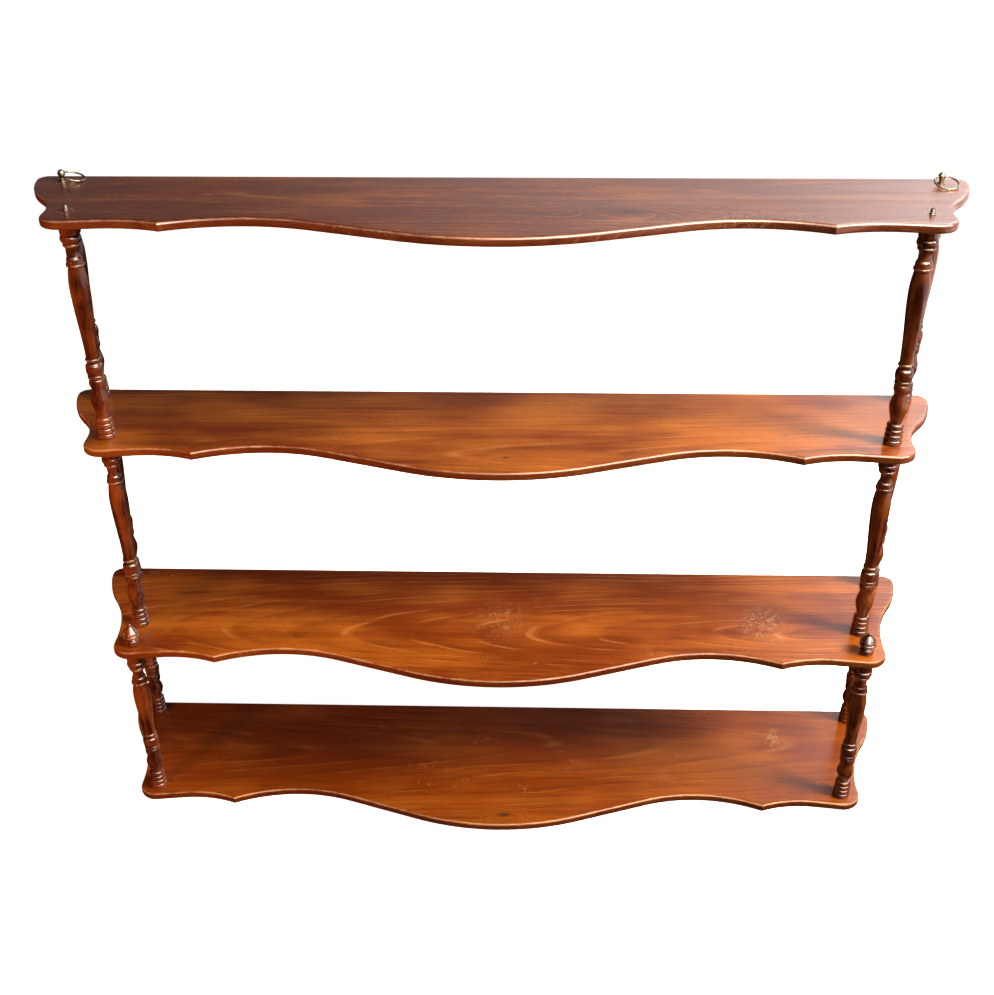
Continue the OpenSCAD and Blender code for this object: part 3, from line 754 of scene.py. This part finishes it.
def stained_wood(add, place, finish, look, rings, bands, blots, fibres, open_pores):
    """The colour of a board's stained wood before any wear: figure, growth rings, fibres and pores, and
    painted pools of light and shadow.
    """
    seed = look["seed"]
    ring = add("Math:FRACT", rings)
    shade = weighed(add, (bands, 0.5), (blots, 0.5))
    # Painted light and painted shadow: spots that lighten or darken the stain where light falls or is
    # blocked.
    for x, y, reach_x, reach_y, amount in look["painted_light_and_shade"]:
        painted_patch = spot(add, place, (x, y), (reach_x, reach_y), core=0.0)
        shade = add("Math:MULTIPLY_ADD", painted_patch, amount, shade)
    shade = add("MapRange", add("Math:ADD", shade, look["shade"]), 0.33, 0.67)
    colour = add("Mix", shade, finish.board_dark, finish.board_light)
    colour = add("Mix", look["tinted"], colour, linear(look["tint"]))

    breaks = stretched_noise(add, place, (140, 9, 9), seed + 1.3, detail=3)
    late = add("Math:MULTIPLY", add("MapRange", ring, 0.55, 0.97), add("MapRange", ring, 0.0, 0.16))
    late_wood = add("Math:MULTIPLY", late, add("MapRange", breaks, 0.3, 0.65))
    colour = tinge(add, colour, finish.board_late, late_wood, 0.36)

    patches = stretched_noise(add, place, (90, 30, 30), seed + 3.4, detail=2)
    early = add("Math:MULTIPLY", add("MapRange", ring, 0.04, 0.12), add("MapRange", ring, 0.24, 0.14))
    early_wood = add("Math:MULTIPLY", early, add("MapRange", patches, 0.46, 0.62))
    colour = tinge(add, colour, finish.board_pale, early_wood, 0.3 * (1 - look["tinted"]))
    colour = streaked(add, colour, fibres, 1 - 0.2 * look["grain"], 1 + 0.18 * look["grain"])
    return tinge(add, colour, finish.board_late, open_pores, 0.38)


def scratch_marks(add, place, look, broken):
    """Scattered scratches, and a denser web of them in the scratched places, all wide enough to show."""
    seed = look["seed"]
    lines = most(add, [hairlines(add, place, (11, 9, 9), 0.020, seed + 13.0),
                       hairlines(add, place, (30, 6, 6), 0.013, seed + 14.0),
                       hairlines(add, place, (5, 15, 9), 0.014, seed + 15.0)])
    scattered = stretched_noise(add, place, (60, 34, 34), seed + 17.0, detail=3)
    marks = add("Math:MULTIPLY", lines, broken)
    marks = add("Math:MULTIPLY", marks, add("MapRange", scattered, 0.60, 0.74))
    marks = add("Math:MULTIPLY", marks, 0.45)
    if look["scratches"]:
        arcs = most(add, [lines, hairlines(add, place, (8, 8, 8), 0.024, seed + 18.0)])
        web = add("Math:MULTIPLY", arcs, add("Math:MULTIPLY_ADD", broken, 0.65, 0.35))
        for x, y, reach_x, reach_y, strength in look["scratches"]:
            shown = add("Math:MULTIPLY", web, spot(add, place, (x, y), (reach_x, reach_y), core=0.1))
            marks = most(add, [marks, add("Math:MULTIPLY", shown, strength)])
    return marks


def varnished_board(board, finish, studs):
    """Plain-sawn tropical hardwood, planed, stained reddish brown and varnished by hand.

    Wide wandering growth rings and long fibre streaks show through a thin satin varnish, which is worn
    pale on the arrises, scratched in places and darkened by old stains. Fibres and pores are 0.1 to 0.3 mm
    wide in the real wood, too fine to show, so they are drawn several times coarser.
    """
    look = BOARD_LOOKS[board]
    seed = look["seed"]
    material, add, place = new_surface("varnished_hardwood_" + board)
    rings = growth_rings(add, place, look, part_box(board)[1].z)
    bands = stretched_noise(add, place, (420, 22, 22), seed + 2.1, detail=4, roughness=0.6)
    blots = stretched_noise(add, place, (130, 70, 70), seed + 4.7, detail=2)
    fibres = stretched_noise(add, place, (70, 1.7, 1.7), seed + 5.9, detail=4, roughness=0.65)
    pores = stretched_noise(add, place, (9, 0.8, 0.8), seed + 7.3, detail=1)
    open_pores = add("MapRange", pores, 0.62, 0.70)
    colour = stained_wood(add, place, finish, look, rings, bands, blots, fibres, open_pores)

    # Painted shade: the upright edge faces are darkened towards the late-wood colour, as far as each look's
    # edge strength says.
    side = add("Attribute", attribute_name="side").outputs["Fac"]
    colour = tinge(add, colour, finish.board_late, side, look["edge"])
    arris = add("Attribute", attribute_name="wear").outputs["Fac"]
    wear_noise = stretched_noise(add, place, (30, 16, 10), seed + 9.1, detail=5, roughness=0.72)
    wear = weighed(add, (arris, look["wear"]), (add("Math:SUBTRACT", wear_noise, 0.5), 1.6))
    worn = add("Math:MULTIPLY", add("MapRange", wear, 0.32, 0.75), add("MapRange", arris, 0.05, 0.35))
    colour = tinge(add, colour, finish.board_bare, worn, 0.3)

    if look["stains"]:
        stain_edge = stretched_noise(add, place, (12, 6, 6), seed + 12.0, detail=3)
        spots = most(add, [spot(add, place, s[:2], s[2:], core=0.1) for s in look["stains"]])
        stained = add("Math:MULTIPLY", spots, add("MapRange", stain_edge, 0.25, 0.6))
        colour = tinge(add, colour, finish.board_grime, stained, 0.85)

    gaps = stretched_noise(add, place, (7, 7, 7), seed + 16.0, detail=3)
    broken = add("MapRange", gaps, 0.47, 0.6)
    marks = scratch_marks(add, place, look, broken)
    colour = tinge(add, colour, finish.board_bare, marks, 0.7)

    for stud in studs:
        at = (MM * stud[0], MM * stud[1])
        inner = spot(add, place, at, (6.6, 6.6), core=0.97)
        outer = spot(add, place, at, (8.0, 8.0), core=0.95)
        pressed = add("Math:MULTIPLY", add("Math:SUBTRACT", outer, inner), broken)
        colour = tinge(add, colour, finish.board_bare, pressed, 0.6)

    rough = add("Math:MULTIPLY_ADD", worn, 0.14, add("MapRange", blots, *NOISE_SPAN, 0.22, 0.265))
    height = weighed(add, (fibres, 0.35), (open_pores, -0.5), (marks, -0.7), (blots, 1.2))
    constants = {"Specular IOR Level": look["sheen"], "Coat Roughness": 0.24}
    if look["coat"]:
        gloss = add("MapRange", bands, *NOISE_SPAN, 0.7 * look["coat"], 1.3 * look["coat"])
        constants["Coat Weight"] = gloss
    finish_surface(add, colour, rough, height, strength=0.35, relief=0.0002, **constants)
    return material


def turned_hardwood(name, finish):
    """Hardwood turned on a lathe, stained dark and polished.

    Streaks run along the piece, the narrow grooves are darker, and the beads are rubbed lighter.
    Its fibres and tool marks are drawn several times coarser than real ones, which would not show.
    """
    material, add, place = new_surface(name)
    bands = stretched_noise(add, place, (7, 7, 90), 2.7, detail=3)
    fibres = stretched_noise(add, place, (1.3, 1.3, 30), 6.1, detail=4, roughness=0.65)
    blots = stretched_noise(add, place, (16, 16, 24), 8.8, detail=3)
    shade = weighed(add, (bands, 0.55), (blots, 0.45))
    colour = add("Mix", add("MapRange", shade, 0.36, 0.66), finish.turned_dark, finish.turned_light)
    colour = streaked(add, colour, fibres, 0.7, 1.2)
    crest = add("Attribute", attribute_name="crest").outputs["Fac"]
    rubs = stretched_noise(add, place, (5, 5, 4), 10.4, detail=3)
    rubbed = add("Math:MULTIPLY", add("MapRange", crest, 0.4, 1.0), add("MapRange", rubs, 0.38, 0.62))
    colour = tinge(add, colour, finish.board_bare, rubbed, 0.3)
    # Darker in the narrow grooves, the more so the deeper they are.
    recess = add("Attribute", attribute_name="recess").outputs["Fac"]
    groove_dark = add("MapRange", recess, 0.35, 1.0)
    colour = tinge(add, colour, finish.turned_groove_dark, groove_dark, 0.75)
    gloss = add("MapRange", blots, *NOISE_SPAN, 0.15, 0.22)
    rough = add("Math:ADD", gloss, add("Math:MULTIPLY", groove_dark, 0.2))
    tool_marks = stretched_noise(add, place, (40, 40, 0.6), 12.9, detail=2)
    height = weighed(add, (fibres, 0.4), (tool_marks, 0.3))
    finish_surface(add, colour, rough, height, strength=0.3, relief=0.0002, **{"Specular IOR Level": 0.6})
    return material


def aged_metal(name, bright, dark, seed, bright_rough, dark_rough, share):
    """Bare metal that has darkened: the film is patchy, rougher than the metal and thin on rubbed spots.

    Its fine pits, under 0.1 mm in the real metal, are drawn 0.5 mm wide to show.
    """
    material, add, place = new_surface(name)
    patches = stretched_noise(add, place, (2.6, 2.6, 2.6), seed, detail=4, roughness=0.6)
    film = add("MapRange", patches, 0.5 - share, 0.9 - share)
    grit = stretched_noise(add, place, (0.5, 0.5, 0.5), seed + 3.0, detail=2)
    colour = add("Mix", film, bright, dark)
    rough = add("MapRange", film, 0.0, 1.0, bright_rough, dark_rough)
    finish_surface(add, colour, rough, grit, strength=0.2, relief=0.0001, Metallic=1.0)
    return material


def darkened_bronze(name, finish):
    """Drawn and turned brass alloy, never cleaned: a brown film, rubbed bright in spots."""
    return aged_metal(name, finish.bronze, finish.tarnish, seed=1.9, bright_rough=0.24, dark_rough=0.48,
                      share=0.12)


def rusted_steel(name, finish):
    """Old cut steel screws: grey metal under a thin brown film, dull with a few bright crests."""
    return aged_metal(name, finish.steel, finish.rust, seed=5.3, bright_rough=0.34, dark_rough=0.62,
                      share=0.16)


def shared(name, make, context):
    """The material of that name, made at its first use."""
    return bpy.data.materials.get(name) or make(name, context.scene.shelf_finish)


def dress_node(node, material):
    """Gives a CAD node that stays its material."""
    target = frame["nodes"][node]
    target.data.materials.clear()
    target.data.materials.append(material)


def screw_places(board):
    """Places of the screws through a board. A place that only carries a foot is countersunk underneath."""
    index = BOARDS.index(board)
    above = [spindle_place(TIERS[index - 1], corner) for corner in CORNERS] if index > 0 else []
    below = [spindle_place(TIERS[index], corner) for corner in CORNERS] if index < len(TIERS) else []
    return [(at, at not in below) for at in dict.fromkeys(above + below)]


class SHELF_OT_boards(bpy.types.Operator):
    """Build the four scalloped boards with worn edges, screw holes and varnished wood"""

    bl_idname = "wall_shelf.boards"
    bl_label = "Boards"

    def execute(self, context):
        shape = context.scene.shelf_board
        for board in BOARDS:
            low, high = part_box(board)
            taper_z = low.z + shape.head_sink + shape.head_height
            through = [(shape.join_hole / 2, high.z), (shape.join_hole / 2, low.z)]
            wide = [(shape.stud_hole / 2, high.z), (shape.stud_hole / 2, low.z)]
            sunk = [(shape.under_hole / 2, high.z), (shape.under_hole / 2, taper_z),
                    (shape.head_hole / 2, low.z + shape.head_sink), (shape.head_hole / 2, low.z)]
            studs = []
            if board == "top_shelf":
                studs = [spindle_place("top", "front_" + side) for side in SIDES]
            holes = []
            for at, foot_only in screw_places(board):
                holes.append((at, sunk if foot_only else wide if at in studs else through))
            bm = build_board(shape, board, holes)
            material = varnished_board(board, context.scene.shelf_finish, studs)
            new_piece(board + "_board", bm, material, BODY, board)
        return {"FINISHED"}


class SHELF_OT_spindles(bpy.types.Operator):
    """Turn the twelve spindles between the boards"""

    bl_idname = "wall_shelf.spindles"
    bl_label = "Spindles"

    def execute(self, context):
        shape = context.scene.shelf_spindle
        wood = shared("turned_stained_hardwood", turned_hardwood, context)
        for tier in TIERS:
            vase_height = shape.short_vase if tier == "bottom" else shape.long_vase
            for corner in CORNERS:
                node = f"{tier}_spindle_{corner}"
                low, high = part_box(node)
                bm = bmesh.new()
                lathe(bm, spindle_profile(shape, high.z - low.z, vase_height), foot_middle(node))
                new_piece(node + "_turned", bm, wood, BODY, node)
        return {"FINISHED"}


class SHELF_OT_finials(bpy.types.Operator):
    """Turn the two finials on the front corners of the third board"""

    bl_idname = "wall_shelf.finials"
    bl_label = "Finials"

    def execute(self, context):
        wood = shared("turned_stained_hardwood", turned_hardwood, context)
        profile = finial_profile(context.scene.shelf_spindle, context.scene.shelf_finial)
        for side in SIDES:
            node = "finial_" + side
            bm = bmesh.new()
            lathe(bm, profile, foot_middle(node))
            new_piece(node + "_turned", bm, wood, BODY, node)
        return {"FINISHED"}


class SHELF_OT_hanging_rings(bpy.types.Operator):
    """Bend the two loose rings and finish the ball-headed screw eyes that hold them"""

    bl_idname = "wall_shelf.hanging_rings"
    bl_label = "Hanging rings"

    def execute(self, context):
        shape = context.scene.shelf_metal
        bronze = shared("darkened_bronze", darkened_bronze, context)
        lean = asin((shape.eye_height - shape.wire / 2 - shape.ring_rest) / shape.ring)
        for side in SIDES:
            joint = next(j for j in frame["joints"] if j["child"] == "ring_" + side)
            lay = atan2(joint["axis"][0], -joint["axis"][1])
            bm = bmesh.new()
            wire_ring(bm, Vector(joint["pos_m"]), lay, lean, shape)
            ring = "hanging_ring_" + side
            new_piece(ring + "_wire", bm, bronze, "ring_" + side, ring)
            dress_node("screw_eye_" + side, bronze)
        return {"FINISHED"}


class SHELF_OT_screws(bpy.types.Operator):
    """Cut the threaded ends of the bare screws and finish the screws in the wood"""

    bl_idname = "wall_shelf.screws"
    bl_label = "Screws"

    def execute(self, context):
        shape = context.scene.shelf_metal
        steel = shared("rusted_steel", rusted_steel, context)
        board_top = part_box("top_shelf")[1].z
        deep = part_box("top_stud_screws")[0].z - board_top
        crest = [(0.0, deep), (shape.shank / 2, deep + shape.point), (shape.shank / 2, 0),
                 (shape.stud_tip / 2, shape.stud - shape.stud_bevel),
                 (shape.stud_tip / 2 - shape.stud_bevel, shape.stud)]
        bm = bmesh.new()
        for side in SIDES:
            middle = node_middle("top_spindle_front_" + side)
            threaded_screw(bm, Vector((middle.x, middle.y, board_top)), crest, shape.pitch, shape.thread)
        new_piece("top_stud_screws_threaded", bm, steel, BODY, "top_stud_screws")
        for node in HIDDEN_SCREWS + COUNTERSUNK_SCREWS:
            dress_node(node, steel)
        return {"FINISHED"}


def seen_rays(add):
    """1 on the rays of the camera, of reflections and of glass, and 0 on those that only carry light."""
    rays = add("LightPath").outputs
    seen = add("Math:ADD", rays["Is Camera Ray"], rays["Is Glossy Ray"])
    return add("Math:ADD", seen, rays["Is Transmission Ray"], use_clamp=True)


def white_paper(name, glow, ambient):
    """Seamless studio paper, matt and white. It mostly glows by itself, so that shadows on it stay pale."""
    material = bpy.data.materials.new(name)
    add = emptied(material)
    paper_white = 1.02
    dim = add("BsdfDiffuse", [(paper_white - glow) / ambient] * 3)
    shown = add("AddShader", dim, add("Emission", WHITE, glow))
    matt = add("BsdfDiffuse", (0.3, 0.3, 0.3))
    add("OutputMaterial", add("MixShader", seen_rays(add), matt, shown))
    return material


def white_surroundings(scene, ambient):
    """Even light all round, and plain white where the camera or a reflection looks past the floor."""
    scene.world = bpy.data.worlds.new("studio")
    add = emptied(scene.world)
    even = add("Background", WHITE, ambient)
    add("OutputWorld", add("MixShader", seen_rays(add), even, add("Background", WHITE, 1.0)))


def graded_cloth(name, colour, grade, upper=None):
    """Lit screen cloth that brightens from left to right, for a sheen that does too.

    A grade is its left and right end and its dim and bright level. The upper one takes over above the turn.
    """
    material = bpy.data.materials.new(name)
    add = emptied(material)
    x, _, z = add("SeparateXYZ", add("TexCoord").outputs["Object"]).outputs
    level = add("MapRange", x, *grade)
    if upper:
        rise = add("Math:SUBTRACT", add("MapRange", x, *upper), level)
        level = add("Math:MULTIPLY_ADD", add("MapRange", z, *CLOTH_TURN), rise, level)
    add("OutputMaterial", add("Emission", linear(colour), level))
    return material


def hang_screen(name, corners, cloth):
    """A cloth screen that only reflections see."""
    bm = bmesh.new()
    bm.faces.new([bm.verts.new(corner) for corner in corners])
    screen = mesh_object(name, bm, cloth)
    for rays in ("camera", "diffuse", "transmission", "volume_scatter", "shadow"):
        setattr(screen, "visible_" + rays, False)


def hang_lamp(name, kind, at, aim, power, colour, glossy, **settings):
    """Hangs a lamp at a place and aims it at a point. One that isn't glossy shows in no reflection."""
    lamp = bpy.data.lights.new(name, kind)
    lamp.energy = power
    lamp.color = linear(colour)
    for setting, value in settings.items():
        setattr(lamp, setting, value)
    head = bpy.data.objects.new(name, lamp)
    head.location = at
    head.rotation_euler = (Vector(aim) - Vector(at)).to_track_quat("-Z", "Y").to_euler()
    head.visible_camera = False
    head.visible_glossy = glossy
    bpy.context.scene.collection.objects.link(head)


def focus(cone, radius):
    """Settings of a spot lamp with a soft-edged cone, which leaves the far end of the shelf dimmer."""
    return dict(spot_size=radians(cone), spot_blend=1.0, shadow_soft_size=radius)


def softbox(width, height):
    return dict(shape="RECTANGLE", size=width, size_y=height)


# Name, kind, place, aim, power, colour and whether reflections show it, then the settings of its kind.
LAMPS = (
    ("key_right", "SPOT", (2.23, -0.77, 2.25), (0.5, 0, 0.3), 545, "#fff4e8", True, focus(50, 0.5)),
    ("top_front", "AREA", (0.8, -0.85, 1.9), (1.5, 0, 0.3), 12, "#fff0e0", True, softbox(0.4, 0.4)),
    ("low_right", "AREA", (1.6, -0.5, 1.15), (0.3, 0, 0.4), 14, "#fff4e8", True, softbox(0.5, 0.5)),
    ("warm_left", "SPOT", (-1.15, -1.2, 0.42), (-0.45, 0, 0.4), 125, "#ffc080", False, focus(50, 0.2)),
    ("rim_right", "AREA", (1.3, 1.45, 1.3), (0, 0, 0.36), 4, "#fff6f0", False, softbox(0.9, 1.1)),
)
# Name, colour and grades of each cloth, then the corners of the screens that hang from it.
SCREENS = (
    ("wall_cloth", "#ffffff", ((-2.2, 3.2, 0.12, 1.15), (1.4, 2.8, 0.01, 5.0)), {
        "screen_back": ((-8, 6, 0), (10, 6, 0), (10, 6, 14), (-8, 6, 14))}),
    ("screen_cloth", "#ffffff", ((1.4, 2.8, 0.01, 4.0),), {
        "screen_front": ((-8, -2.2, 0), (1.6, -2.2, 0), (1.6, -2.2, 9), (-8, -2.2, 9)),
        "screen_left": ((-8, -2.2, 0), (-8, 6, 0), (-8, 6, 14), (-8, -2.2, 9)),
        "screen_ceiling": ((-8, -2.2, 9), (10, -2.2, 9), (10, 6, 14), (-8, 6, 14))}),
    ("dark_cloth", "#e0a080", ((0.8, 1.6, 0.04, 0.5),), {
        "screen_floor": ((-8, -2.2, CLOTH_Z), (1.6, -2.2, CLOTH_Z), (1.6, 6, CLOTH_Z), (-8, 6, CLOTH_Z))}),
    ("strip_cloth", "#fff2e0", ((-0.6, 1.0, 2.0, 32.0),), {
        "screen_above": ((-1.5, -2.1, 1.45), (1.6, -2.1, 1.45), (1.6, -0.3, 2.1), (-1.5, -0.3, 2.1))}),
)


class SHELF_OT_stage(bpy.types.Operator):
    """Set the camera, the white floor, the lamps and the screens that the varnish mirrors"""

    bl_idname = "wall_shelf.stage"
    bl_label = "Stage"

    def execute(self, context):
        scene = context.scene
        layout = scene.shelf_stage
        camera = bpy.data.objects.new("camera", bpy.data.cameras.new("camera"))
        camera.data.lens = layout.focal / layout.image * camera.data.sensor_width
        camera.data.shift_x = -layout.middle / layout.image
        camera.matrix_world = (Matrix.Translation(layout.camera)
                               @ Matrix.Rotation(layout.turn, 4, "Z")
                               @ Matrix.Rotation(pi / 2 - layout.tilt, 4, "X")
                               @ Matrix.Rotation(layout.roll, 4, "Z"))
        scene.collection.objects.link(camera)
        scene.camera = camera
        white_surroundings(scene, layout.ambient)
        half = layout.floor / 2
        corners = ((-half, -half), (half, -half), (half, half), (-half, half))
        bm = bmesh.new()
        bm.faces.new([bm.verts.new((x, y, FLOOR_Z)) for x, y in corners])
        mesh_object("floor", bm, white_paper("studio_paper", layout.floor_glow, layout.ambient))
        for *lamp, settings in LAMPS:
            hang_lamp(*lamp, **settings)
        for name, colour, grades, screens in SCREENS:
            cloth = graded_cloth(name, colour, *grades)
            for screen, corners in screens.items():
                hang_screen(screen, corners, cloth)
        scene.view_settings.view_transform = "Standard"
        return {"FINISHED"}


OPERATORS = (SHELF_OT_stage, SHELF_OT_boards, SHELF_OT_spindles, SHELF_OT_finials, SHELF_OT_hanging_rings,
             SHELF_OT_screws)
SETTINGS = {
    "shelf_board": BoardShape,
    "shelf_spindle": SpindleShape,
    "shelf_finial": FinialShape,
    "shelf_metal": MetalShape,
    "shelf_finish": Finishes,
    "shelf_stage": StageLayout,
}


class SHELF_PT_panel(bpy.types.Panel):
    """Lists the steps that build the shelf"""

    bl_idname = "SHELF_PT_panel"
    bl_label = "Wall shelf"
    bl_space_type = "VIEW_3D"
    bl_region_type = "UI"
    bl_category = "Shelf"

    def draw(self, context):
        for operator in OPERATORS:
            self.layout.operator(operator.bl_idname)


CLASSES = (*SETTINGS.values(), *OPERATORS, SHELF_PT_panel)


def register():
    for cls in CLASSES:
        bpy.utils.register_class(cls)
    for name, cls in SETTINGS.items():
        setattr(bpy.types.Scene, name, PointerProperty(type=cls))


def unregister():
    for name in SETTINGS:
        delattr(bpy.types.Scene, name)
    for cls in reversed(CLASSES):
        bpy.utils.unregister_class(cls)


def main():
    register()
    bpy.ops.wall_shelf.stage()
    bpy.ops.wall_shelf.boards()
    bpy.ops.wall_shelf.spindles()
    bpy.ops.wall_shelf.finials()
    bpy.ops.wall_shelf.hanging_rings()
    bpy.ops.wall_shelf.screws()


if __name__ == "__main__":
    main()
